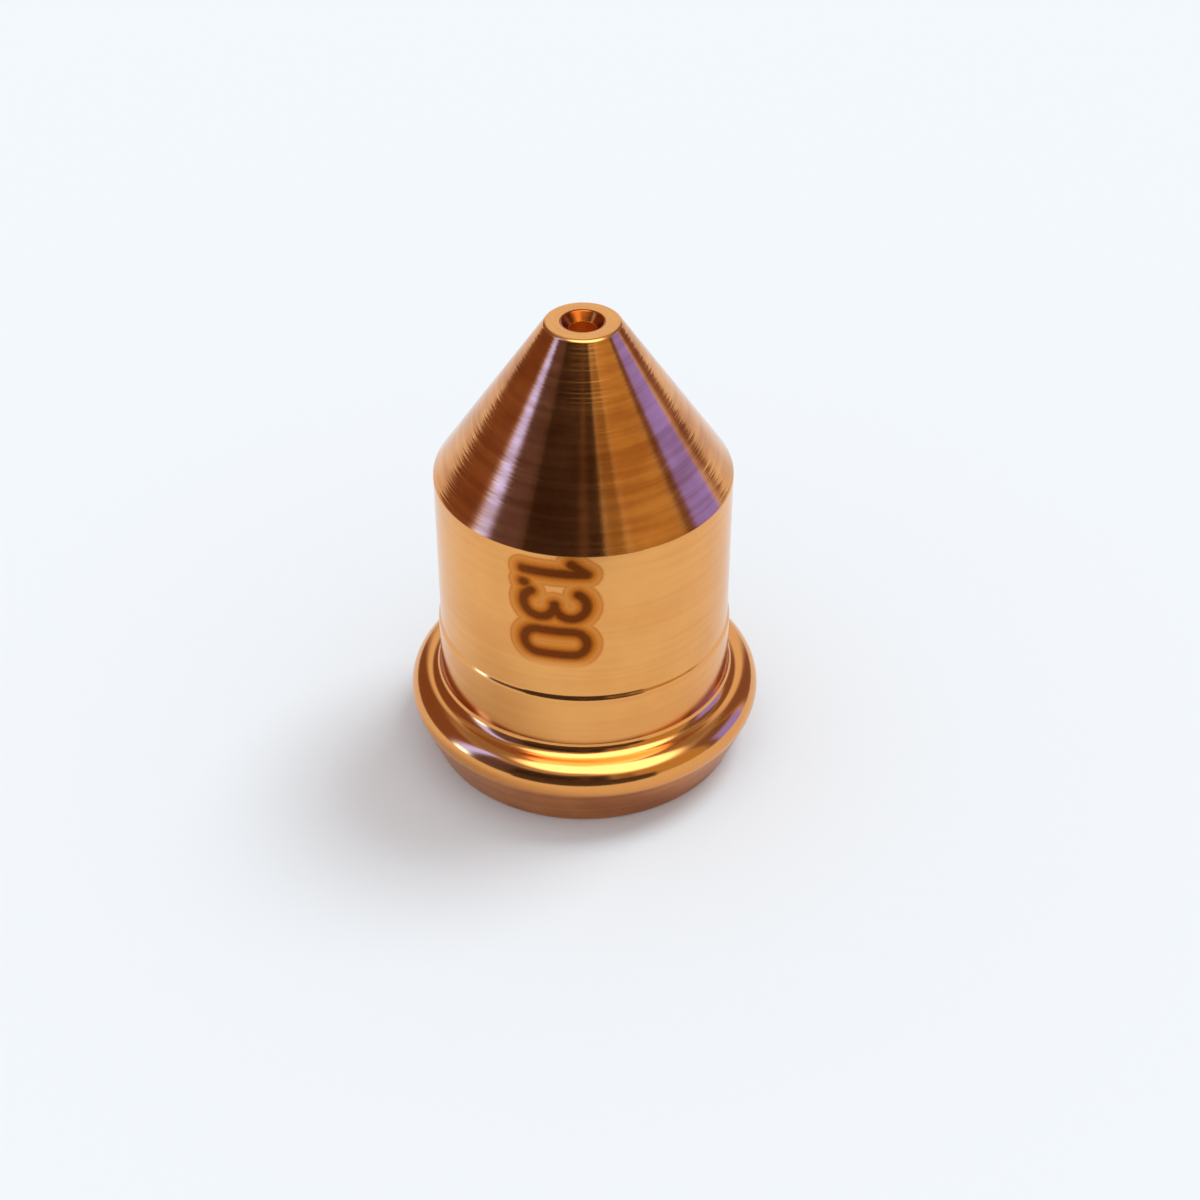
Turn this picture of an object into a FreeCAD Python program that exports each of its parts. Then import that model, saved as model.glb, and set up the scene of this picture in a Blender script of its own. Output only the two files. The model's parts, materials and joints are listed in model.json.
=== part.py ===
import FreeCAD, Part
import Sketcher
import math
import os

# Plasma torch nozzle, turned from one bar of copper.
# The nozzle stands on its rear face: the origin is the centre of that face and +Z runs
# along the torch axis, out of the plasma orifice. Sizes are in millimetres and degrees.

NODE = "nozzle"

# Every driving size, with the note that stands beside it in the sheet.
DRIVING_SIZES = [
    ("total_height", 23.65, "rear face to tip face"),
    ("shoulder_height", 15.6, "rear face to the edge between body and nose cone"),
    ("body_dia", 14.3, "body above the locating land"),
    ("tip_face_dia", 3.5, "nose cone where it meets the plane of the tip"),
    ("land_step", 0.1, "locating land proud of the body, on radius"),
    ("land_top", 7.45, "rear face to the top of the locating land"),
    ("land_lead", 0.2, "height of the lead-in taper at the top of the land"),
    ("flange_reach", 1.55, "flange beyond the locating land, on radius"),
    ("bead_radius", 1.1, "round edge of the flange"),
    ("bead_height", 2.85, "rear face to the centre of the round edge"),
    ("root_fillet", 0.6, "hollow between the flange and the land"),
    ("foot_inset", 1.1, "rear face inside the flange, on radius"),
    ("body_wall", 2.15, "wall between the chamber and the body"),
    ("seat_ledge", 0.75, "rear seat beyond the chamber, on radius"),
    ("seat_depth", 2.0, "rear face to the floor of the rear seat"),
    ("chamber_blend", 1.5, "rounding between the chamber wall and its cone"),
    ("orifice_dia", 1.3, "plasma orifice"),
    ("orifice_length", 2.8, "tip face to the throat of the chamber"),
    ("throat_ledge", 0.3, "flat ring round the orifice at the throat, on radius"),
    ("throat_break", 0.15, "chamfer from that ring into the orifice"),
    ("mouth_dia", 2.0, "countersink at the tip face"),
    ("mouth_angle", 82.0, "included angle of the countersink"),
    ("tip_radius", 0.25, "rounding round the tip face"),
    ("edge_break", 0.15, "chamfer at the foot and at the mouth of the seat"),
    ("shoulder_break", 0.08, "rounding on the edge of the shoulder"),
]

# Sizes that follow from the driving ones.
DERIVED_SIZES = [
    ("body_radius", "=body_dia / 2", "body"),
    ("land_radius", "=body_radius + land_step", "locating land"),
    ("flange_radius", "=land_radius + flange_reach", "widest point of the flange"),
    ("bead_centre", "=flange_radius - bead_radius", "axis to the centre of the round edge"),
    ("foot_radius", "=flange_radius - foot_inset", "outside edge of the rear face"),
    ("tip_face_radius", "=tip_face_dia / 2", "tip face before its edge is rounded"),
    ("cone_angle", "=atan((body_radius - tip_face_radius) / (total_height - shoulder_height))",
     "half angle of the nose, inside and outside"),
    ("chamber_radius", "=body_radius - body_wall", "chamber"),
    ("seat_radius", "=chamber_radius + seat_ledge", "rear seat"),
    ("orifice_radius", "=orifice_dia / 2", "plasma orifice"),
    ("throat_height", "=total_height - orifice_length", "rear face to the throat"),
    ("throat_radius", "=orifice_radius + throat_ledge", "small end of the chamber cone"),
    ("chamber_cone_turn", "=90 deg + cone_angle", "direction of the chamber cone in its section"),
]


def make_sheet(document):
    """Fill the sheet of sizes: one row each for the note, the name and the value."""
    sheet = document.addObject("Spreadsheet::Sheet", "sizes")
    rows = DRIVING_SIZES + DERIVED_SIZES
    for row, (name, value, note) in enumerate(rows, start=1):
        sheet.set(f"A{row}", note)
        sheet.set(f"B{row}", name)
        sheet.set(f"C{row}", str(value))
        sheet.setAlias(f"C{row}", name)
    document.recompute()
    return sheet


def origin_plane(body, role):
    """Return one of the body's own origin planes by its role, such as XZ_Plane."""
    return next(item for item in body.Origin.OriginFeatures if item.Role == role)


def add_sketch(body, name, role):
    """Add a sketch that lies flat on one of the body's origin planes."""
    sketch = body.newObject("Sketcher::SketchObject", name)
    sketch.AttachmentSupport = [(origin_plane(body, role), "")]
    sketch.MapMode = "FlatFace"
    return sketch


class Profile:
    """Half section of a turned form, drawn edge by edge in the plane through the axis.

    Sketch x is the radius and sketch y is the height above the rear face.
    """

    ORIGIN = -1      # Sketcher's number for the horizontal axis, whose first point is the origin
    VERTICAL = -2    # Sketcher's number for the vertical axis
    FIRST = 1
    LAST = 2
    CENTRE = 3

    def __init__(self, body, name, sheet):
        self.sketch = add_sketch(body, name, "XZ_Plane")
        self.sheet = sheet

    def line(self, start, end):
        """Draw a straight edge and return its number."""
        segment = Part.LineSegment(FreeCAD.Vector(*start, 0), FreeCAD.Vector(*end, 0))
        return self.sketch.addGeometry(segment, False)

    def arc(self, centre, radius, start_angle, end_angle):
        """Draw a round edge, anticlockwise between two angles in degrees."""
        circle = Part.Circle(FreeCAD.Vector(*centre, 0), FreeCAD.Vector(0, 0, 1), radius)
        curve = Part.ArcOfCircle(circle, math.radians(start_angle), math.radians(end_angle))
        return self.sketch.addGeometry(curve, False)

    def rule(self, *terms):
        """Add a constraint that has no size of its own."""
        self.sketch.addConstraint(Sketcher.Constraint(*terms))

    def chain(self, edges):
        """Join each edge's last point to the first point of the edge after it."""
        for edge, following in zip(edges, edges[1:]):
            self.rule("Coincident", edge, self.LAST, following, self.FIRST)

    def size(self, label, kind, terms, expression, value):
        """Add a size and bind it to the sheet."""
        number = self.sketch.addConstraint(Sketcher.Constraint(kind, *terms, value))
        self.sketch.renameConstraint(number, label)
        self.sketch.setExpression(f"Constraints.{label}", expression)

    def radius_of(self, label, edge, point, alias):
        """Set how far a point lies from the axis."""
        terms = (self.ORIGIN, self.FIRST, edge, point)
        self.size(label, "DistanceX", terms, f"sizes.{alias}", self.sheet.get(alias))

    def height_of(self, label, edge, point, alias):
        """Set how far a point lies above the rear face."""
        terms = (self.ORIGIN, self.FIRST, edge, point)
        self.size(label, "DistanceY", terms, f"sizes.{alias}", self.sheet.get(alias))


def check_volume(feature, before, grows):
    """Stop if a feature leaves the solid as it was or changes it the wrong way."""
    change = feature.Shape.Volume - before
    if change == 0 or (change > 0) != grows:
        raise RuntimeError(f"{feature.Label} changes the volume by {change:.4f}")


def edge_ring(feature, radius, height):
    """Name the circular edge of a feature at a radius from the axis and a height."""
    for number, edge in enumerate(feature.Shape.Edges, start=1):
        curve = edge.Curve
        if not isinstance(curve, Part.Circle):
            continue
        if abs(curve.Radius - radius) < 1e-4 and abs(curve.Center.z - height) < 1e-4:
            return f"Edge{number}"
    raise RuntimeError(f"{feature.Label} has no edge at radius {radius} and height {height}")


def dress(body, kind, name, base, rings, property_name, alias, grows):
    """Round or chamfer circular edges, with a size bound to the sheet."""
    feature = body.newObject(kind, name)
    feature.Base = (base, [edge_ring(base, radius, height) for radius, height in rings])
    feature.setExpression(property_name, f"sizes.{alias}")
    feature.Document.recompute()
    check_volume(feature, base.Shape.Volume, grows)
    return feature


def turn_outside(body, sheet):
    """Turn the outside: foot taper, round-edged flange, land, body and nose cone."""
    profile = Profile(body, "outside_profile", sheet)
    foot = sheet.foot_radius
    flange = sheet.flange_radius
    bead = sheet.bead_height
    land = sheet.land_radius
    land_top = sheet.land_top
    side = sheet.body_radius
    shoulder = sheet.shoulder_height
    tip = sheet.tip_face_radius
    top = sheet.total_height
    lead_foot = land_top - sheet.land_lead
    hollow_centre = (land + sheet.root_fillet, bead + sheet.bead_radius + sheet.root_fillet)

    rear = profile.line((0, 0), (foot, 0))
    taper = profile.line((foot, 0), (flange, bead * 0.8))
    round_edge = profile.arc((sheet.bead_centre, bead), sheet.bead_radius, -20, 85)
    hollow = profile.arc(hollow_centre, sheet.root_fillet, 180, 265)
    land_side = profile.line((land, hollow_centre[1]), (land, lead_foot))
    lead = profile.line((land, lead_foot), (side, land_top))
    body_side = profile.line((side, land_top), (side, shoulder))
    nose = profile.line((side, shoulder), (tip, top))
    tip_face = profile.line((tip, top), (0, top))
    axis = profile.line((0, top), (0, 0))

    profile.rule("Coincident", rear, Profile.FIRST, Profile.ORIGIN, Profile.FIRST)
    profile.chain([land_side, lead, body_side, nose, tip_face, axis, rear, taper])
    profile.rule("Tangent", taper, Profile.LAST, round_edge, Profile.FIRST)
    profile.rule("Tangent", round_edge, Profile.LAST, hollow, Profile.LAST)
    profile.rule("Tangent", hollow, Profile.FIRST, land_side, Profile.FIRST)
    profile.rule("Horizontal", rear)
    profile.rule("Horizontal", tip_face)
    profile.rule("Vertical", land_side)
    profile.rule("Vertical", body_side)
    profile.rule("PointOnObject", tip_face, Profile.LAST, Profile.VERTICAL)

    profile.radius_of("foot", rear, Profile.LAST, "foot_radius")
    profile.radius_of("bead_out", round_edge, Profile.CENTRE, "bead_centre")
    profile.height_of("bead_up", round_edge, Profile.CENTRE, "bead_height")
    profile.size("bead", "Radius", (round_edge,), "sizes.bead_radius", sheet.bead_radius)
    profile.size("hollow", "Radius", (hollow,), "sizes.root_fillet", sheet.root_fillet)
    profile.radius_of("land", land_side, Profile.LAST, "land_radius")
    profile.size("lead", "DistanceY", (lead, Profile.FIRST, lead, Profile.LAST),
                 "sizes.land_lead", sheet.land_lead)
    profile.height_of("land_end", lead, Profile.LAST, "land_top")
    profile.radius_of("body", body_side, Profile.LAST, "body_radius")
    profile.height_of("shoulder", body_side, Profile.LAST, "shoulder_height")
    profile.radius_of("tip", nose, Profile.LAST, "tip_face_radius")
    profile.height_of("top", nose, Profile.LAST, "total_height")

    blank = body.newObject("PartDesign::Revolution", "outside")
    blank.Profile = profile.sketch
    blank.ReferenceAxis = (profile.sketch, ["V_Axis"])
    blank.Angle = 360
    body.Document.recompute()
    return blank


def bore_inside(body, sheet, blank):
    """Bore the rear seat, the chamber and the cone that narrows to the throat."""
    profile = Profile(body, "inside_profile", sheet)
    seat = sheet.seat_radius
    ledge = sheet.seat_depth
    chamber = sheet.chamber_radius
    blend = sheet.chamber_blend
    slope = sheet.cone_angle.Value
    throat = sheet.throat_radius
    throat_height = sheet.throat_height
    cone_rise = (chamber - throat) / math.tan(math.radians(slope))
    chamber_top = throat_height - cone_rise

    mouth = profile.line((0, 0), (seat, 0))
    seat_side = profile.line((seat, 0), (seat, ledge))
    seat_floor = profile.line((seat, ledge), (chamber, ledge))
    chamber_side = profile.line((chamber, ledge), (chamber, chamber_top))
    rounding = profile.arc((chamber - blend, chamber_top), blend, 0, slope)
    cone = profile.line((chamber, chamber_top), (throat, throat_height))
    throat_end = profile.line((throat, throat_height), (0, throat_height))
    axis = profile.line((0, throat_height), (0, 0))

    profile.rule("Coincident", mouth, Profile.FIRST, Profile.ORIGIN, Profile.FIRST)
    profile.chain([cone, throat_end, axis, mouth, seat_side, seat_floor, chamber_side])
    profile.rule("Tangent", chamber_side, Profile.LAST, rounding, Profile.FIRST)
    profile.rule("Tangent", rounding, Profile.LAST, cone, Profile.FIRST)
    profile.rule("Horizontal", mouth)
    profile.rule("Vertical", seat_side)
    profile.rule("Horizontal", seat_floor)
    profile.rule("Vertical", chamber_side)
    profile.rule("Horizontal", throat_end)
    profile.rule("PointOnObject", throat_end, Profile.LAST, Profile.VERTICAL)

    profile.radius_of("seat", seat_side, Profile.FIRST, "seat_radius")
    profile.height_of("ledge", seat_side, Profile.LAST, "seat_depth")
    profile.radius_of("chamber", chamber_side, Profile.LAST, "chamber_radius")
    profile.size("rounding", "Radius", (rounding,), "sizes.chamber_blend", blend)
    profile.size("slope", "Angle", (cone,), "sizes.chamber_cone_turn",
                 math.radians(sheet.chamber_cone_turn.Value))
    profile.radius_of("throat", cone, Profile.LAST, "throat_radius")
    profile.height_of("throat_end", cone, Profile.LAST, "throat_height")

    bore = body.newObject("PartDesign::Groove", "inside")
    bore.Profile = profile.sketch
    bore.ReferenceAxis = (profile.sketch, ["V_Axis"])
    bore.Angle = 360
    body.Document.recompute()
    check_volume(bore, blank.Shape.Volume, grows=False)
    return bore


def drill_orifice(body, sheet, bored):
    """Drill the plasma orifice from the tip face, with its countersunk mouth."""
    sketch = add_sketch(body, "orifice_centre", "XY_Plane")
    sketch.setExpression("AttachmentOffset.Base.z", "sizes.total_height")
    circle = Part.Circle(FreeCAD.Vector(0, 0, 0), FreeCAD.Vector(0, 0, 1), sheet.orifice_radius)
    ring = sketch.addGeometry(circle, False)
    on_axis = Sketcher.Constraint("Coincident", ring, Profile.CENTRE, Profile.ORIGIN, Profile.FIRST)
    sketch.addConstraint(on_axis)
    number = sketch.addConstraint(Sketcher.Constraint("Radius", ring, sheet.orifice_radius))
    sketch.renameConstraint(number, "orifice")
    sketch.setExpression("Constraints.orifice", "sizes.orifice_radius")

    hole = body.newObject("PartDesign::Hole", "orifice")
    hole.Profile = sketch
    body.Document.recompute()
    hole.DepthType = "ThroughAll"
    hole.HoleCutType = "Countersink"
    hole.HoleCutCustomValues = True
    hole.setExpression("Diameter", "sizes.orifice_dia")
    hole.setExpression("HoleCutDiameter", "sizes.mouth_dia")
    hole.setExpression("HoleCutCountersinkAngle", "sizes.mouth_angle")
    body.Document.recompute()
    check_volume(hole, bored.Shape.Volume, grows=False)
    return hole


def finish_edges(body, sheet, drilled):
    """Round and chamfer the edges, from the tip face to the rear face."""
    tip = [(sheet.tip_face_radius, sheet.total_height)]
    shoulder = [(sheet.body_radius, sheet.shoulder_height)]
    throat = [(sheet.orifice_radius, sheet.throat_height)]
    rear = [(sheet.foot_radius, 0), (sheet.seat_radius, 0)]

    last = dress(body, "PartDesign::Fillet", "tip_edge", drilled, tip, "Radius",
                 "tip_radius", grows=False)
    last = dress(body, "PartDesign::Fillet", "shoulder_edge", last, shoulder, "Radius",
                 "shoulder_break", grows=False)
    last = dress(body, "PartDesign::Chamfer", "throat_lead", last, throat, "Size",
                 "throat_break", grows=False)
    return dress(body, "PartDesign::Chamfer", "rear_edges", last, rear, "Size",
                 "edge_break", grows=False)


def make_nozzle(document, sheet):
    """Build the nozzle as one body."""
    body = document.addObject("PartDesign::Body", NODE)
    body.Label = NODE
    blank = turn_outside(body, sheet)
    bored = bore_inside(body, sheet, blank)
    drilled = drill_orifice(body, sheet, bored)
    body.Tip = finish_edges(body, sheet, drilled)
    document.recompute()
    return body


def check_document(document):
    """Stop if any object of the document failed to build."""
    for item in document.Objects:
        if "Invalid" in item.State or "Error" in item.State:
            raise RuntimeError(f"{item.Label} is {item.State}")


def check_shape(body):
    """Stop unless the body is one valid solid."""
    shape = body.Shape
    if shape.isNull() or not shape.isValid() or len(shape.Solids) != 1:
        raise RuntimeError(f"{body.Label} is not one valid solid")


def main():
    """Make the document, check it and write the nozzle."""
    os.makedirs("parts", exist_ok=True)
    document = FreeCAD.newDocument("plasma_torch_nozzle")
    sheet = make_sheet(document)
    nozzle = make_nozzle(document, sheet)
    check_document(document)
    check_shape(nozzle)
    nozzle.Shape.exportStep(f"parts/{nozzle.Label}.step")
    box = nozzle.Shape.BoundBox
    print(f"{nozzle.Label}: volume {nozzle.Shape.Volume:.2f} mm3, "
          f"{box.XLength:.3f} x {box.YLength:.3f} x {box.ZLength:.3f} mm")


main()
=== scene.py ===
import json
import logging
import math
from dataclasses import dataclass
from enum import Enum

import bmesh
import bpy
from mathutils import Matrix, Vector


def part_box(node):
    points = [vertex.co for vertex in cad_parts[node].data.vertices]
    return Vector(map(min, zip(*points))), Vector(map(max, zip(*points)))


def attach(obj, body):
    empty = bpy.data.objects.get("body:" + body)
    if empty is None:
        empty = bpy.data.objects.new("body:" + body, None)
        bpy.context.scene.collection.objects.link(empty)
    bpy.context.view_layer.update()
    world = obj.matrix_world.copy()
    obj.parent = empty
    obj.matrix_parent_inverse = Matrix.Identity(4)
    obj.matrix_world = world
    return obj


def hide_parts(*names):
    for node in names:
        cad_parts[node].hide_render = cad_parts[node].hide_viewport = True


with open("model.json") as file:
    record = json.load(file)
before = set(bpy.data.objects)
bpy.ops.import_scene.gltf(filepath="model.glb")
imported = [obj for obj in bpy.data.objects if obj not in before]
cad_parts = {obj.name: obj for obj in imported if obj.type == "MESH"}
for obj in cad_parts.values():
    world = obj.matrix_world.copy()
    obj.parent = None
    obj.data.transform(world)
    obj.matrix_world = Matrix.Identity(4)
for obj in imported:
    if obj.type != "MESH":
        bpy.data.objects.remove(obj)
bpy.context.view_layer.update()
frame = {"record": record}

LOG = logging.getLogger("nozzle_scene")
MM = 0.001
Colour = tuple[float, float, float]
Point = tuple[float, float]
Place = tuple[float, float, float]
Socket = bpy.types.NodeSocket
Value = Socket | float | tuple[float, ...]


def mount_radius(name: str) -> float:
    """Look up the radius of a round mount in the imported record.

    Args:
        name: the mount's name.

    Returns:
        Its radius in millimetres.
    """
    found = next(item for item in frame["record"]["mounts"] if item["name"] == name)
    return found["dims"]["r_mm"]


class Region(Enum):
    """The nozzle's surfaces, each with its own finish and, on the tip, bore, mouth and foot, painted
    light or shade; the value is the material slot.
    """

    NOSE = 0
    BODY = 1
    FLANGE = 2
    FOOT = 3
    TIP = 4
    BORE = 5
    MOUTH = 6


# --------------------------------------------------------------------------- node trees


def rgba(colour: Value) -> Value:
    """Give a plain colour its fourth number, and pass a socket through."""
    return colour if isinstance(colour, Socket) else (*colour, 1.0)


class Graph:
    """A node tree that is built by nested calls."""

    def __init__(self, tree: bpy.types.NodeTree) -> None:
        """Keep the tree to build in."""
        self.tree = tree

    def node(self, kind: str, inputs: dict | None = None, **settings) -> bpy.types.Node:
        """Add a node.

        Args:
            kind: the node's type name.
            inputs: values or sockets for its inputs, by name or number.
            settings: the node's own properties.

        Returns:
            The new node.
        """
        made = self.tree.nodes.new(kind)
        for name, value in settings.items():
            setattr(made, name, value)
        for key, value in (inputs or {}).items():
            self.feed(made.inputs[key], value)
        return made

    def feed(self, socket: Socket, value: Value) -> None:
        """Link a socket to another socket, or set its value.

        Args:
            socket: the input to feed.
            value: the socket or the plain value that it takes.
        """
        if isinstance(value, Socket):
            self.tree.links.new(value, socket)
        else:
            socket.default_value = value

    def maths(self, operation: str, *terms: Value, clamp: bool = False) -> Socket:
        """Add a Math node and return its output."""
        made = self.node("ShaderNodeMath", dict(enumerate(terms)), operation=operation,
                         use_clamp=clamp)
        return made.outputs[0]

    def vector(self, operation: str, *terms: Value) -> Socket:
        """Add a Vector Math node and return its vector."""
        made = self.node("ShaderNodeVectorMath", dict(enumerate(terms)), operation=operation)
        return made.outputs["Vector"]

    def scaled(self, vector: Value, factor: Value) -> Socket:
        """Multiply a vector by a number."""
        made = self.node("ShaderNodeVectorMath", {0: vector, "Scale": factor}, operation="SCALE")
        return made.outputs["Vector"]

    def measure(self, operation: str, *terms: Value) -> Socket:
        """Add a Vector Math node and return its number, such as a length or a dot product."""
        made = self.node("ShaderNodeVectorMath", dict(enumerate(terms)), operation=operation)
        return made.outputs["Value"]

    def combine(self, x: Value = 0.0, y: Value = 0.0, z: Value = 0.0) -> Socket:
        """Make a vector from three numbers."""
        return self.node("ShaderNodeCombineXYZ", {"X": x, "Y": y, "Z": z}).outputs[0]

    def separate(self, vector: Socket) -> list[Socket]:
        """Split a vector into its three numbers."""
        return list(self.node("ShaderNodeSeparateXYZ", {0: vector}).outputs)

    def rise(self, value: Value, start: float, end: float, low: float = 0.0,
             high: float = 1.0) -> Socket:
        """Map a value smoothly from one range to another.

        Args:
            value: the socket to map.
            start: the value that gives low.
            end: the value that gives high. It may be below start.
            low: the result at start.
            high: the result at end.

        Returns:
            The mapped value, held between low and high.
        """
        inputs = {"Value": value, "From Min": start, "From Max": end, "To Min": low,
                  "To Max": high}
        return self.node("ShaderNodeMapRange", inputs, interpolation_type="SMOOTHSTEP",
                         clamp=True).outputs[0]

    def blend(self, factor: Value, first: Value, second: Value) -> Socket:
        """Mix two colours.

        Args:
            factor: 0 for the first colour, 1 for the second.
            first: the first colour.
            second: the second colour.

        Returns:
            The mixed colour.
        """
        made = self.node("ShaderNodeMix", data_type="RGBA")
        self.feed(made.inputs[0], factor)
        self.feed(made.inputs[6], rgba(first))
        self.feed(made.inputs[7], rgba(second))
        return made.outputs[2]

    def noise(self, vector: Value, scale: float, detail: float = 2.0) -> Socket:
        """Add a Noise Texture and return its grey value."""
        inputs = {"Vector": vector, "Scale": scale, "Detail": detail}
        return self.node("ShaderNodeTexNoise", inputs).outputs[0]

    def ramp(self, value: Value, stops: tuple[tuple[float, Colour], ...]) -> Socket:
        """Add a Color Ramp.

        Args:
            value: the number to colour.
            stops: positions with their linear colours, in rising order.

        Returns:
            The colour.
        """
        made = self.node("ShaderNodeValToRGB", {0: value})
        made.color_ramp.interpolation = "EASE"
        elements = made.color_ramp.elements
        elements[0].position, elements[1].position = stops[0][0], stops[-1][0]
        elements[0].color, elements[1].color = rgba(stops[0][1]), rgba(stops[-1][1])
        for position, colour in stops[1:-1]:
            elements.new(position).color = rgba(colour)
        return made.outputs[0]


class FieldGroup:
    """A node group that turns vectors and numbers into one number."""

    def __init__(self, name: str, vectors: list[str], numbers: list[str]) -> None:
        """Start the group.

        Args:
            name: the group's name.
            vectors: the names of its vector inputs.
            numbers: the names of its number inputs.
        """
        self.tree = bpy.data.node_groups.new(name, "ShaderNodeTree")
        for label in vectors:
            self.tree.interface.new_socket(label, in_out="INPUT", socket_type="NodeSocketVector")
        for label in numbers:
            self.tree.interface.new_socket(label, in_out="INPUT", socket_type="NodeSocketFloat")
        self.tree.interface.new_socket("Field", in_out="OUTPUT", socket_type="NodeSocketFloat")
        self.graph = Graph(self.tree)
        self.given = self.graph.node("NodeGroupInput").outputs

    def close(self, field: Socket) -> None:
        """Send the finished number to the group's output."""
        self.graph.node("NodeGroupOutput", {0: field})

    def use(self, graph: Graph, inputs: dict[str, Value]) -> Socket:
        """Add this group to another graph.

        Args:
            graph: the graph that uses the group.
            inputs: the group's inputs, by name.

        Returns:
            The group's number.
        """
        made = graph.node("ShaderNodeGroup", node_tree=self.tree)
        for name, value in inputs.items():
            graph.feed(made.inputs[name], value)
        return made.outputs[0]


# --------------------------------------------------------------------------- the mark


def straight_stroke() -> FieldGroup:
    """Make the group that measures how far a point lies from a straight stroke.

    Returns:
        The group, fed with the point and the stroke's two ends.
    """
    group = FieldGroup("straight_stroke", ["Point", "Start", "End"], [])
    graph, given = group.graph, group.given
    reach = graph.vector("SUBTRACT", given["Point"], given["Start"])
    run = graph.vector("SUBTRACT", given["End"], given["Start"])
    along = graph.maths("DIVIDE", graph.measure("DOT_PRODUCT", reach, run),
                        graph.measure("DOT_PRODUCT", run, run), clamp=True)
    away = graph.vector("SUBTRACT", reach, graph.scaled(run, along))
    group.close(graph.measure("LENGTH", away))
    return group


def round_stroke() -> FieldGroup:
    """Make the group that measures how far a point lies from an arc.

    Returns:
        The group, fed with the point, the arc's centre and radius, the direction of the arc's
        middle, and the angle from there to either end.
    """
    group = FieldGroup("round_stroke", ["Point", "Centre", "Middle"], ["Radius", "Half Angle"])
    graph, given = group.graph, group.given
    radius, half = given["Radius"], given["Half Angle"]
    reach = graph.vector("SUBTRACT", given["Point"], given["Centre"])
    ahead = graph.measure("DOT_PRODUCT", reach, given["Middle"])
    aside = graph.measure("LENGTH", graph.vector("CROSS_PRODUCT", reach, given["Middle"]))
    off_ring = graph.maths("SUBTRACT", graph.measure("LENGTH", reach), radius)
    to_ring = graph.maths("ABSOLUTE", off_ring)
    end = graph.combine(graph.maths("MULTIPLY", radius, graph.maths("COSINE", half)),
                        graph.maths("MULTIPLY", radius, graph.maths("SINE", half)))
    to_end = graph.measure("DISTANCE", graph.combine(ahead, aside), end)
    past_end = graph.maths("GREATER_THAN", graph.maths("ARCTAN2", aside, ahead), half)
    step = graph.maths("SUBTRACT", to_end, to_ring)
    group.close(graph.maths("MULTIPLY_ADD", past_end, step, to_ring))
    return group


@dataclass(frozen=True)
class LaserMark:
    """Plain numerals burnt into the body: the bore of the orifice in millimetres.

    The line of figures runs down from the shoulder and the figures stand on their left side.
    Sizes are in millimetres on the unrolled body. The tints go by the distance from the middle
    of the nearest stroke.
    """

    foot: float = -2.8
    head: float = 0.2
    one_stem: float = 0.95
    flag_reach: float = 0.55
    flag_drop: float = 0.7
    point_at: float = 1.7
    three_at: float = 2.75
    nought_at: float = 4.95
    nought_radius: float = 0.68
    point_height: float = 0.08
    bow_tilt: float = 30.0
    bow_half_angle: float = 120.0
    tints: tuple[tuple[float, Colour], ...] = (
        (0.13, (0.20, 0.045, 0.007)),
        (0.24, (0.33, 0.085, 0.010)),
        (0.36, (0.52, 0.150, 0.016)),
        (0.50, (0.63, 0.205, 0.030)),
        (0.60, (0.66, 0.245, 0.050)),
        (0.70, (0.61, 0.205, 0.038)),
        (0.84, (0.80, 0.35, 0.10)),
    )
    tint_reach: float = 0.9
    tint_full: float = 0.72

    def distance(self, graph: Graph, place: Socket) -> Socket:
        """Measure how far a point of the unrolled body lies from the nearest stroke.

        Args:
            graph: the material's graph.
            place: the point: along the line of figures, then up a figure.

        Returns:
            The distance to the middle of the nearest stroke.
        """
        straight, bow = straight_stroke(), round_stroke()
        lines = [
            ((self.one_stem, self.foot), (self.one_stem, self.head)),
            ((self.one_stem, self.head),
             (self.one_stem - self.flag_reach, self.head - self.flag_drop)),
            ((self.point_at, self.foot), (self.point_at, self.foot + self.point_height)),
        ]
        fields = [straight.use(graph, {"Point": place, "Start": (*start, 0), "End": (*end, 0)})
                  for start, end in lines]
        radius = (self.head - self.foot) / 4
        tilt = math.radians(self.bow_tilt)
        for height, side in ((self.head - radius, 1), (self.foot + radius, -1)):
            middle = (math.cos(tilt), side * math.sin(tilt), 0)
            fields.append(bow.use(graph, {
                "Point": place, "Centre": (self.three_at, height, 0), "Middle": middle,
                "Radius": radius, "Half Angle": math.radians(self.bow_half_angle)}))
        core = straight.use(graph, {
            "Point": place,
            "Start": (self.nought_at, self.foot + self.nought_radius, 0),
            "End": (self.nought_at, self.head - self.nought_radius, 0)})
        fields.append(graph.maths("ABSOLUTE", graph.maths("SUBTRACT", core, self.nought_radius)))
        nearest = fields[0]
        for field in fields[1:]:
            nearest = graph.maths("MINIMUM", nearest, field)
        return nearest


# --------------------------------------------------------------------------- finishes


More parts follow.
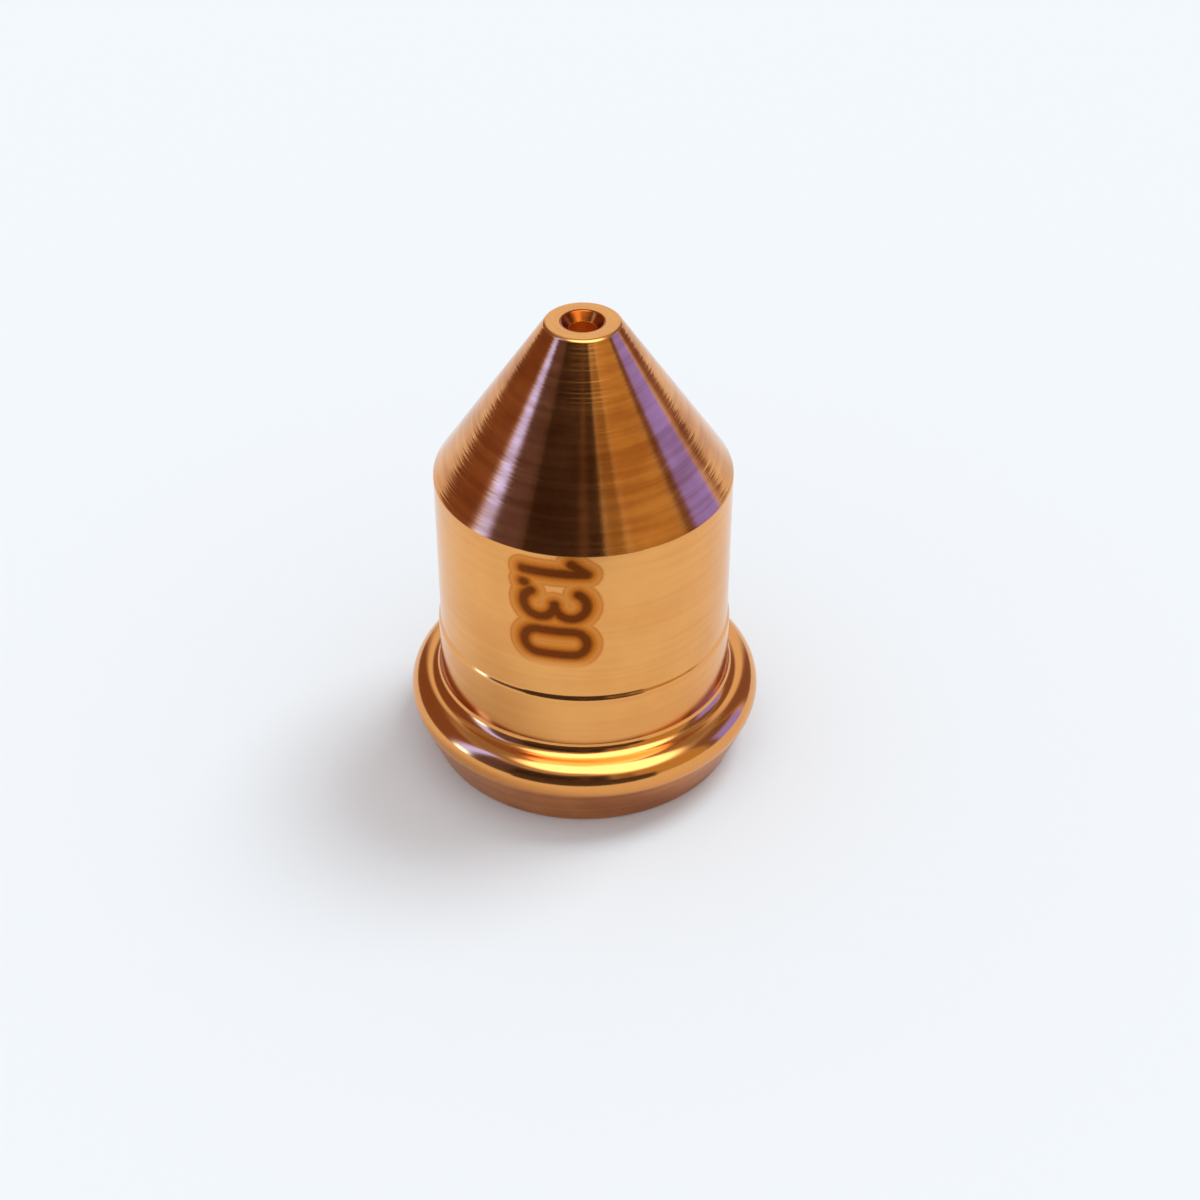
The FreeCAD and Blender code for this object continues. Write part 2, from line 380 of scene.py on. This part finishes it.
@dataclass(frozen=True)
class TurnedCopper:
    """Bare copper with the lathe's rings in it.

    Lengths are in millimetres. The rings follow the height, the radius or both, by the two
    weights along_axis and along_radius. A random mottle mixes colour towards deep_colour; where a
    part's colours are set darker or lighter than the rest, they also hold painted shade or light.
    """

    name: str
    colour: Colour = (0.80, 0.35, 0.10)
    deep_colour: Colour = (0.66, 0.25, 0.065)
    tone_noise: float = 0.35
    roughness: float = 0.12
    roughness_spread: float = 0.05
    along_axis: float = 1.0
    along_radius: float = 0.0
    ring_pitch: float = 0.1
    ring_height: float = 0.0006
    grain_height: float = 0.0
    anisotropy: float = 0.35
    mark: LaserMark | None = None
    mark_top: float = 15.55
    mark_radius: float = 7.15

    def build(self) -> bpy.types.Material:
        """Make the material.

        Returns:
            The finished material.
        """
        material = bpy.data.materials.new(self.name)
        material.use_nodes = True
        material.node_tree.nodes.clear()
        graph = Graph(material.node_tree)
        inside = graph.node("ShaderNodeTexCoord").outputs["Object"]
        place = graph.scaled(inside, 1.0 / MM)
        x, y, z = graph.separate(place)
        radius = graph.measure("LENGTH", graph.combine(x, y))
        turn = graph.maths("ARCTAN2", x, graph.maths("MULTIPLY", y, -1.0))
        cut = graph.maths("ADD", graph.maths("MULTIPLY", z, self.along_axis),
                          graph.maths("MULTIPLY", radius, self.along_radius))
        rings = self._rings(graph, cut, x, y)
        tone = graph.noise(place, 0.35, 3.0)
        streak = graph.noise(graph.combine(graph.maths("MULTIPLY", cut, 3.2),
                                           graph.maths("MULTIPLY", turn, 0.6)), 1.0, 3.0)
        # random mottle along the rings; where tone_noise and deep_colour are strong, as on the nose
        # and foot, it is also painted shade
        mottle_and_shade = graph.rise(graph.maths("ADD", graph.maths("MULTIPLY", tone, 0.55),
                                      graph.maths("MULTIPLY", streak, 0.45)), 0.36, 0.66)
        colour = graph.blend(graph.maths("MULTIPLY", mottle_and_shade, self.tone_noise),
                             self.colour, self.deep_colour)
        rough = graph.maths("MULTIPLY_ADD", graph.maths("SUBTRACT", rings, 0.5),
                            self.roughness_spread, self.roughness)
        if self.mark:
            colour, rough = self._marked(graph, colour, rough, z, turn)
        height = graph.maths("MULTIPLY", rings, self.ring_height)
        if self.grain_height:
            grain = graph.noise(place, 9.0, 4.0)
            height = graph.maths("MULTIPLY_ADD", grain, self.grain_height, height)
        bump = graph.node("ShaderNodeBump", {"Height": height, "Strength": 1.0,
                                             "Distance": MM}).outputs[0]
        tangent = graph.node("ShaderNodeTangent", direction_type="RADIAL", axis="Z").outputs[0]
        shader = graph.node("ShaderNodeBsdfPrincipled", {
            "Base Color": colour, "Metallic": 1.0, "Roughness": rough, "Normal": bump,
            "Anisotropic": self.anisotropy, "Anisotropic Rotation": 0.25, "Tangent": tangent})
        graph.node("ShaderNodeOutputMaterial", {"Surface": shader.outputs[0]})
        return material

    def _rings(self, graph: Graph, cut: Socket, x: Socket, y: Socket) -> Socket:
        """Make the lathe's rings: uneven in depth, and nearly the same all the way round.

        Args:
            graph: the material's graph.
            cut: the way along the cut in millimetres.
            x: the place across, in millimetres.
            y: the place in depth, in millimetres.

        Returns:
            The rings' height, from 0 to 1.
        """
        wander = graph.combine(graph.maths("DIVIDE", cut, self.ring_pitch),
                               graph.maths("MULTIPLY", x, 0.05),
                               graph.maths("MULTIPLY", y, 0.05))
        return graph.noise(wander, 1.0, 2.0)

    def _marked(self, graph: Graph, colour: Socket, rough: Socket, z: Socket,
                turn: Socket) -> tuple[Socket, Socket]:
        """Burn the numerals into the body, with the tint that the heat leaves round them.

        Args:
            graph: the material's graph.
            colour: the bare colour.
            rough: the bare roughness.
            z: the height in millimetres.
            turn: the angle round the axis from the front.

        Returns:
            The new colour and roughness.
        """
        along = graph.maths("SUBTRACT", self.mark_top, z)
        across = graph.maths("MULTIPLY", turn, self.mark_radius)
        unrolled = graph.combine(along, across)
        ragged = graph.noise(graph.combine(along, across), 7.0, 3.0)
        field = graph.maths("MULTIPLY_ADD", graph.maths("SUBTRACT", ragged, 0.5), 0.09,
                            self.mark.distance(graph, unrolled))
        tint = graph.ramp(field, self.mark.tints)
        cover = graph.rise(field, self.mark.tint_reach, self.mark.tint_full)
        fade = graph.rise(along, 6.7, 5.8)
        shown = graph.blend(graph.maths("MULTIPLY", cover, fade), colour, tint)
        burnt = graph.rise(field, 0.30, 0.14, 0.0, 0.2)
        return shown, graph.maths("ADD", rough, burnt)


# --------------------------------------------------------------------------- the nozzle


@dataclass(frozen=True)
class Corner:
    """One corner of the turned section.

    Args:
        at: radius and height in millimetres.
        region: the finish of the line that leads on to the next corner.
        rounding: the radius of the corner's rounding, or 0 for a sharp corner.
    """

    at: Point
    region: Region
    rounding: float = 0.0


def arc(centre: Point, radius: float, start: float, end: float, steps: int) -> list[Point]:
    """List the points of an arc, ends included.

    Args:
        centre: the centre's radius and height.
        radius: the arc's radius.
        start: the first point's angle in degrees, from the outward direction.
        end: the last point's angle.
        steps: the number of straight pieces.

    Returns:
        The points.
    """
    angles = [math.radians(start + (end - start) * step / steps) for step in range(steps + 1)]
    return [(centre[0] + radius * math.cos(angle), centre[1] + radius * math.sin(angle))
            for angle in angles]


def rounded(before: Point, corner: Point, after: Point, radius: float) -> list[Point]:
    """Round one corner of a chain.

    Args:
        before: the point before the corner.
        corner: the sharp corner.
        after: the point after it.
        radius: the rounding's radius.

    Returns:
        The points of the rounding, from the side of the point before.
    """
    here = Vector(corner)
    back = (Vector(before) - here).normalized()
    ahead = (Vector(after) - here).normalized()
    half = back.angle(ahead) / 2
    centre = here + (back + ahead).normalized() * radius / math.sin(half)
    first = here + back * radius / math.tan(half)
    last = here + ahead * radius / math.tan(half)
    start = math.atan2(first.y - centre.y, first.x - centre.x)
    sweep = (math.atan2(last.y - centre.y, last.x - centre.x) - start + math.pi) % math.tau
    sweep -= math.pi
    return arc(tuple(centre), radius, math.degrees(start), math.degrees(start + sweep), 10)


@dataclass(frozen=True)
class NozzleSizes:
    """The nozzle's sizes in millimetres."""

    flange_radius: float
    height: float
    land_radius: float
    chamber_radius: float
    seat_radius: float
    orifice_radius: float
    body_radius: float = 7.15
    shoulder_height: float = 15.6
    tip_face_radius: float = 1.75
    tip_rounding: float = 0.25
    land_top: float = 7.45
    land_lead: float = 0.2
    bead_radius: float = 1.1
    bead_height: float = 2.85
    hollow_radius: float = 0.6
    foot_radius: float = 7.7
    seat_depth: float = 2.0
    chamber_rounding: float = 1.5
    throat_height: float = 20.85
    throat_radius: float = 0.95
    mouth_radius: float = 1.0
    mouth_depth: float = 0.403
    mouth_rounding: float = 0.16
    orifice_rounding: float = 0.05
    shoulder_rounding: float = 0.08
    step_rounding: float = 0.3
    edge_break: float = 0.15

    @classmethod
    def from_frame(cls) -> "NozzleSizes":
        """Take the outer sizes and the bores from the frame.

        Returns:
            The sizes, with the rest as they stand in this class.
        """
        low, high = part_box("nozzle")
        return cls(
            flange_radius=(high.x - low.x) / 2 / MM,
            height=(high.z - low.z) / MM,
            land_radius=mount_radius("barrel"),
            chamber_radius=mount_radius("chamber"),
            seat_radius=mount_radius("rear_seat"),
            orifice_radius=mount_radius("orifice"),
        )

    @property
    def bead_centre(self) -> Point:
        """The middle of the bead's round section."""
        return (self.flange_radius - self.bead_radius, self.bead_height)

    @property
    def hollow_centre(self) -> Point:
        """The middle of the root hollow, which touches both the bead and the land."""
        out = self.land_radius + self.hollow_radius
        apart = self.bead_radius + self.hollow_radius
        rise = math.sqrt(apart ** 2 - (out - self.bead_centre[0]) ** 2)
        return (out, self.bead_height + rise)


@dataclass
class TurnedNozzle:
    """The nozzle: one piece of copper, turned outside and bored inside."""

    sizes: NozzleSizes
    steps: int = 256
    sharp_from: float = 24.0

    def outside(self) -> list[Corner]:
        """List the corners outside, from the root hollow's top up to the mouth."""
        size = self.sizes
        return [
            Corner((size.land_radius, size.hollow_centre[1]), Region.BODY),
            Corner((size.land_radius, size.land_top - size.land_lead), Region.BODY,
                   size.step_rounding),
            Corner((size.body_radius, size.land_top), Region.BODY, size.step_rounding),
            Corner((size.body_radius, size.shoulder_height), Region.NOSE, size.shoulder_rounding),
            Corner((size.tip_face_radius, size.height), Region.TIP, size.tip_rounding),
            Corner((size.mouth_radius, size.height), Region.MOUTH, size.mouth_rounding),
            Corner((size.orifice_radius, size.height - size.mouth_depth), Region.BORE,
                   size.orifice_rounding),
        ]

    def inside(self) -> list[Corner]:
        """List the corners inside, from the orifice down to the rear edge."""
        size = self.sizes
        slope = (size.height - size.shoulder_height) / (size.body_radius - size.tip_face_radius)
        cone_foot = size.throat_height - (size.chamber_radius - size.throat_radius) * slope
        cut = size.edge_break
        return [
            Corner((size.orifice_radius, size.throat_height + cut), Region.BORE),
            Corner((size.orifice_radius + cut, size.throat_height), Region.BORE),
            Corner((size.throat_radius, size.throat_height), Region.BORE),
            Corner((size.chamber_radius, cone_foot), Region.BORE, size.chamber_rounding),
            Corner((size.chamber_radius, size.seat_depth), Region.BORE),
            Corner((size.seat_radius, size.seat_depth), Region.BORE),
            Corner((size.seat_radius, cut), Region.BORE),
            Corner((size.seat_radius + cut, 0.0), Region.FOOT),
            Corner((size.foot_radius - cut, 0.0), Region.FOOT),
        ]

    def chains(self) -> list[tuple[Region, list[Point]]]:
        """Draw the whole closed section as chains of points, each with its finish.

        Returns:
            The chains, each starting where the one before ends.
        """
        size = self.sizes
        span = math.dist((size.foot_radius, 0.0), size.bead_centre)
        facing = math.degrees(math.atan2(-size.bead_height, size.foot_radius - size.bead_centre[0]))
        touch = facing + math.degrees(math.acos(size.bead_radius / span))
        rise = size.hollow_centre[1] - size.bead_height
        meet = math.degrees(math.atan2(rise, size.hollow_centre[0] - size.bead_centre[0]))
        bead = arc(size.bead_centre, size.bead_radius, touch, meet, 34)
        hollow = arc(size.hollow_centre, size.hollow_radius, meet + 180, 180, 18)
        taper_foot = Vector((size.foot_radius, 0.0))
        taper = (Vector(bead[0]) - taper_foot).normalized()
        chamfer_top = tuple(taper_foot + taper * size.edge_break)
        chains = [(Region.FOOT, [chamfer_top, bead[0]]), (Region.FLANGE, bead),
                  (Region.FLANGE, hollow)]
        corners = self.outside() + self.inside()
        start = hollow[-1]
        for number, corner in enumerate(corners):
            last = number + 1 == len(corners)
            target = chamfer_top if last else corners[number + 1].at
            if corner.rounding:
                bend = rounded(corners[number - 1].at, corner.at, target, corner.rounding)
                chains.append((corners[number - 1].region, [start, bend[0]]))
                chains.append((corner.region, bend))
                start = bend[-1]
            else:
                if math.dist(start, corner.at) > 1e-6:
                    chains.append((corners[number - 1].region, [start, corner.at]))
                start = corner.at
        chains.append((Region.FOOT, [start, chamfer_top]))
        return chains

    def build(self) -> bpy.types.Object:
        """Spin the section into the finished mesh.

        Returns:
            The mesh object, its faces numbered by region for the material slots that dress adds.
        """
        shape = bmesh.new()
        for region, points in self.chains():
            band = self._spun(region, points)
            shape.from_mesh(band)
            bpy.data.meshes.remove(band)
        bmesh.ops.remove_doubles(shape, verts=shape.verts, dist=1e-8)
        bmesh.ops.recalc_face_normals(shape, faces=shape.faces)
        mesh = bpy.data.meshes.new("nozzle_turned")
        shape.to_mesh(mesh)
        shape.free()
        mesh.set_sharp_from_angle(angle=math.radians(self.sharp_from))
        made = bpy.data.objects.new("nozzle_turned", mesh)
        bpy.context.scene.collection.objects.link(made)
        LOG.info("nozzle_turned: %d faces", len(mesh.polygons))
        return made

    def _spun(self, region: Region, points: list[Point]) -> bpy.types.Mesh:
        """Spin one chain into a closed band.

        Args:
            region: the band's finish.
            points: the chain's radii and heights in millimetres.

        Returns:
            The band as a loose mesh.
        """
        band = bmesh.new()
        verts = [band.verts.new((radius * MM, 0.0, height * MM)) for radius, height in points]
        edges = [band.edges.new(pair) for pair in zip(verts, verts[1:])]
        bmesh.ops.spin(band, geom=verts + edges, cent=(0, 0, 0), axis=(0, 0, 1),
                       angle=math.tau, steps=self.steps, use_merge=True)
        for face in band.faces:
            face.material_index = region.value
            face.smooth = True
        mesh = bpy.data.meshes.new("band")
        band.to_mesh(mesh)
        band.free()
        return mesh

    def dress(self, made: bpy.types.Object) -> None:
        """Give each region its finish; the foot and mouth colours hold painted shade, the tip and bore
        colours painted light.

        Args:
            made: the finished mesh object.
        """
        # partly painted shade: the nose's strong mottle towards a deep brown darkens the cone for the
        # dark reflection in front of it; the ring-wise variation itself is tone
        nose = TurnedCopper("copper_nose", ring_pitch=0.13, roughness=0.13, roughness_spread=0.14,
                            ring_height=0.01, anisotropy=0.5, tone_noise=0.9,
                            deep_colour=(0.52, 0.18, 0.045))
        body = TurnedCopper("copper_body", colour=(0.83, 0.39, 0.115), ring_pitch=0.09,
                            roughness=0.15, ring_height=0.0008, mark=LaserMark(),
                            mark_radius=self.sizes.body_radius)
        flange = TurnedCopper("copper_flange", ring_pitch=0.12, roughness=0.14,
                              ring_height=0.0006, anisotropy=0.2, tone_noise=0.3)
        # painted shade: the foot's copper and deep colour are set darker than the body's, for the
        # shaded, down-facing taper and underside; the mottle and grain are tone
        foot = TurnedCopper("copper_foot", colour=(0.66, 0.26, 0.075),
                            deep_colour=(0.42, 0.13, 0.035), ring_pitch=0.07, roughness=0.34,
                            ring_height=0.0014, grain_height=0.003, tone_noise=0.8,
                            along_radius=1.0)
        # painted light: the tip face's copper is set a little lighter than the body's, for the upward
        # face that catches the pale backdrop
        tip = TurnedCopper("copper_tip", colour=(0.86, 0.42, 0.13), ring_pitch=0.05, along_axis=0.0,
                           along_radius=1.0, roughness=0.24, ring_height=0.0012, anisotropy=0.3)
        # painted light: the bore's copper is set brighter and more orange than the body's, for the
        # glow inside the orifice; its roughness is the bored finish
        bore = TurnedCopper("copper_bore", colour=(0.93, 0.36, 0.03),
                            deep_colour=(0.72, 0.22, 0.02), ring_pitch=0.1,
                            along_radius=0.7, roughness=0.5, ring_height=0.001, tone_noise=0.6)
        # painted shade: the mouth's copper is set near-black, for the shade inside the orifice's
        # countersink
        mouth = TurnedCopper("copper_mouth", colour=(0.52, 0.13, 0.014),
                             deep_colour=(0.24, 0.05, 0.008), ring_pitch=0.06, roughness=0.2,
                             ring_height=0.001, tone_noise=0.7)
        for finish in (nose, body, flange, foot, tip, bore, mouth):
            made.data.materials.append(finish.build())


# --------------------------------------------------------------------------- the studio


@dataclass(frozen=True)
class Panel:
    """One part of the studio's surroundings, as the polished copper sees it.

    Args:
        azimuth: its left and right side in degrees from the front.
        elevation: its bottom and top in degrees above the horizon.
        colour: its brightness in the three colours.
        edge: how far its sides are blurred, in degrees.
        fade: how far its bottom and top are blurred, in degrees.
    """

    azimuth: Point
    elevation: Point
    colour: Colour
    edge: float = 4.0
    fade: float = 5.0

    def cover(self, graph: Graph, azimuth: Socket, elevation: Socket) -> Socket:
        """Find how much of the panel is seen in a direction.

        Args:
            graph: the surroundings' graph.
            azimuth: the direction's angle from the front, in degrees.
            elevation: its angle above the horizon.

        Returns:
            The cover, from 0 to 1.
        """
        left, right = self.azimuth
        low, high = self.elevation
        parts = [
            graph.rise(azimuth, left - self.edge, left + self.edge),
            graph.rise(azimuth, right + self.edge, right - self.edge),
            graph.rise(elevation, low - self.fade, low + self.fade),
            graph.rise(elevation, high + self.fade, high - self.fade),
        ]
        whole = parts[0]
        for part in parts[1:]:
            whole = graph.maths("MULTIPLY", whole, part)
        return whole


@dataclass(frozen=True)
class SoftBox:
    """A round lamp overhead, as the polished copper sees it. Angles are in degrees."""

    azimuth: float
    elevation: float
    radius: float
    colour: Colour
    edge: float = 4.0

    def cover(self, graph: Graph, direction: Socket) -> Socket:
        """Find how much of the lamp is seen in a direction.

        Args:
            graph: the surroundings' graph.
            direction: the direction as a vector of length 1.

        Returns:
            The cover, from 0 to 1.
        """
        turn, lift = math.radians(self.azimuth), math.radians(self.elevation)
        axis = (math.cos(lift) * math.sin(turn), -math.cos(lift) * math.cos(turn), math.sin(lift))
        facing = graph.measure("DOT_PRODUCT", direction, axis)
        angle = graph.maths("DEGREES", graph.maths("ARCCOSINE", facing))
        return graph.rise(angle, self.radius + self.edge, self.radius - self.edge)


PANELS = (
    Panel((-154, -84), (-20, 50), (0.25, 0.13, 0.09), edge=7),
    Panel((-83, -71), (-30, 52), (0.85, 1.5, 7.5), edge=4),
    Panel((-83, -72), (-30, 12), (2.2, 4.2, 9.0), edge=3),
    Panel((-72, -45), (-12, 48), (0.14, 0.11, 0.20)),
    Panel((-48, 18), (-12, 46), (0.05, 0.036, 0.042)),
    Panel((-3, 4), (-12, 46), (0.12, 0.085, 0.08), edge=3),
    Panel((18, 34), (-12, 42), (0.34, 0.25, 0.12), edge=4),
    Panel((34, 78), (-12, 42), (0.60, 0.46, 0.22), edge=4),
    Panel((78, 91), (-12, 46), (0.23, 0.15, 0.09), edge=4),
    Panel((88, 113), (-12, 26), (0.40, 0.50, 3.6), edge=3),
    Panel((88, 116), (26, 50), (0.24, 0.16, 0.20), edge=3),
    Panel((116, 150), (-12, 50), (0.27, 0.16, 0.16), edge=6),
)
SOFT_BOXES = (
    SoftBox(48, 68, 22, (3.4, 3.3, 3.2)),
    SoftBox(-15, 78, 20, (3.4, 3.3, 3.2)),
)


@dataclass
class Studio:
    """The pale floor, the surroundings, the key lamp and the camera.

    Places are in metres and angles in degrees. The floor's opening is hidden by the foot.
    """

    floor_colour: Colour = (0.865, 0.905, 0.935)
    sweep_colour: Colour = (0.92, 0.92, 0.94)
    roof_colour: Colour = (0.35, 0.30, 0.28)
    room_light: Colour = (0.735, 0.70, 0.70)
    flag_colour: Colour = (0.09, 0.075, 0.08)
    key_colour: Colour = (0.90, 1.0, 1.04)
    floor_opening: float = 0.0074
    floor_reach: float = 1.2
    flag_size: Point = (0.05, 0.012)
    flag_place: Place = (0.0, -0.031, 0.006)
    key_place: Place = (0.27, 0.20, 0.55)
    key_spread: float = 26.0
    key_strength: float = 1.26
    roof_from: Point = (44.0, 56.0)
    camera_place: Place = (0.00079, -0.08479, 0.07237)
    camera_tilt: float = 52.68
    lens: float = 64.17

    def build(self) -> list[bpy.types.Object]:
        """Make the whole studio.

        Returns:
            The stage objects.
        """
        self._surroundings()
        self._camera()
        return [self._floor(), self._flag(), self._key_lamp()]

    def _surroundings(self) -> None:
        """Paint what the copper reflects, and keep plain white behind the nozzle."""
        world = bpy.data.worlds.new("studio")
        world.use_nodes = True
        world.node_tree.nodes.clear()
        world.cycles.sampling_method = "NONE"
        bpy.context.scene.world = world
        graph = Graph(world.node_tree)
        direction = graph.node("ShaderNodeTexCoord").outputs["Generated"]
        x, y, z = graph.separate(direction)
        azimuth = graph.maths("DEGREES",
                              graph.maths("ARCTAN2", x, graph.maths("MULTIPLY", y, -1.0)))
        elevation = graph.maths("DEGREES", graph.maths("ARCSINE", z))
        seen = graph.blend(graph.rise(elevation, *self.roof_from), self.sweep_colour, self.roof_colour)
        for panel in PANELS:
            seen = graph.blend(panel.cover(graph, azimuth, elevation), seen, panel.colour)
        for lamp in SOFT_BOXES:
            seen = graph.blend(lamp.cover(graph, direction), seen, lamp.colour)
        path = graph.node("ShaderNodeLightPath").outputs
        lit = graph.blend(path["Is Glossy Ray"], self.room_light, seen)
        shown = graph.blend(path["Is Camera Ray"], lit, (1.0, 1.0, 1.0))
        back = graph.node("ShaderNodeBackground", {"Color": shown, "Strength": 1.0})
        graph.node("ShaderNodeOutputWorld", {"Surface": back.outputs[0]})

    def _plain(self, name: str, colour: Colour) -> bpy.types.Material:
        """Make a plain matt material.

        Args:
            name: the material's name.
            colour: its colour.

        Returns:
            The material.
        """
        material = bpy.data.materials.new(name)
        material.use_nodes = True
        shader = material.node_tree.nodes["Principled BSDF"]
        shader.inputs["Base Color"].default_value = rgba(colour)
        shader.inputs["Roughness"].default_value = 1.0
        shader.inputs["Specular IOR Level"].default_value = 0.0
        return material

    def _placed(self, name: str, shape: bmesh.types.BMesh,
                material: bpy.types.Material) -> bpy.types.Object:
        """Turn a finished shape into an object of the stage.

        Args:
            name: the object's name.
            shape: the shape, which is freed.
            material: its material.

        Returns:
            The object.
        """
        mesh = bpy.data.meshes.new(name)
        shape.to_mesh(mesh)
        shape.free()
        mesh.materials.append(material)
        made = bpy.data.objects.new(name, mesh)
        bpy.context.scene.collection.objects.link(made)
        return made

    def _floor(self) -> bpy.types.Object:
        """Make the pale floor, open under the nozzle and clear when seen from below.

        Returns:
            The floor.
        """
        shape = bmesh.new()
        for radius in (self.floor_opening, self.floor_reach):
            bmesh.ops.create_circle(shape, segments=128, radius=radius)
        bmesh.ops.bridge_loops(shape, edges=shape.edges)
        bmesh.ops.recalc_face_normals(shape, faces=shape.faces)
        if next(iter(shape.faces)).normal.z < 0:
            bmesh.ops.reverse_faces(shape, faces=shape.faces)
        material = self._plain("pale_floor", self.floor_colour)
        graph = Graph(material.node_tree)
        below = graph.node("ShaderNodeNewGeometry").outputs["Backfacing"]
        clear = graph.node("ShaderNodeBsdfTransparent").outputs[0]
        matt = material.node_tree.nodes["Principled BSDF"].outputs[0]
        either = graph.node("ShaderNodeMixShader", {0: below, 1: matt, 2: clear}).outputs[0]
        graph.feed(material.node_tree.nodes["Material Output"].inputs["Surface"], either)
        return self._placed("studio_floor", shape, material)

    def _flag(self) -> bpy.types.Object:
        """Stand a low dark card in front, seen only as a reflection.

        Returns:
            The card.
        """
        shape = bmesh.new()
        stand = Matrix.Translation(self.flag_place) @ Matrix.Rotation(math.pi / 2, 4, "X")
        stretch = Matrix.Diagonal((*self.flag_size, 1.0, 1.0))
        bmesh.ops.create_grid(shape, x_segments=1, y_segments=1, size=0.5,
                              matrix=stand @ stretch)
        flag = self._placed("front_flag", shape, self._plain("flag_card", self.flag_colour))
        flag.visible_camera = False
        flag.visible_diffuse = False
        flag.visible_shadow = False
        return flag

    def _key_lamp(self) -> bpy.types.Object:
        """Hang the key lamp high at the right and behind, for the soft shadow.

        Returns:
            The lamp.
        """
        lamp = bpy.data.lights.new("key_lamp", "SUN")
        lamp.angle = math.radians(self.key_spread)
        lamp.energy = self.key_strength
        lamp.color = self.key_colour
        made = bpy.data.objects.new("key_lamp", lamp)
        made.location = self.key_place
        made.rotation_euler = made.location.to_track_quat("Z", "Y").to_euler()
        made.visible_glossy = False
        bpy.context.scene.collection.objects.link(made)
        return made

    def _camera(self) -> None:
        """Set up the camera."""
        data = bpy.data.cameras.new("view")
        data.sensor_width = 36.0
        data.lens = self.lens
        data.clip_start = 0.005
        data.clip_end = 5.0
        made = bpy.data.objects.new("view", data)
        made.location = self.camera_place
        made.rotation_euler = (math.radians(self.camera_tilt), 0.0, 0.0)
        bpy.context.scene.collection.objects.link(made)
        bpy.context.scene.camera = made


def main() -> None:
    """Build the nozzle and its studio."""
    logging.basicConfig(level=logging.INFO)
    nozzle = TurnedNozzle(NozzleSizes.from_frame())
    piece = nozzle.build()
    nozzle.dress(piece)
    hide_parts("nozzle")
    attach(piece, "root")
    Studio().build()
    bpy.context.scene.view_settings.view_transform = "Standard"


if __name__ == "__main__":
    main()
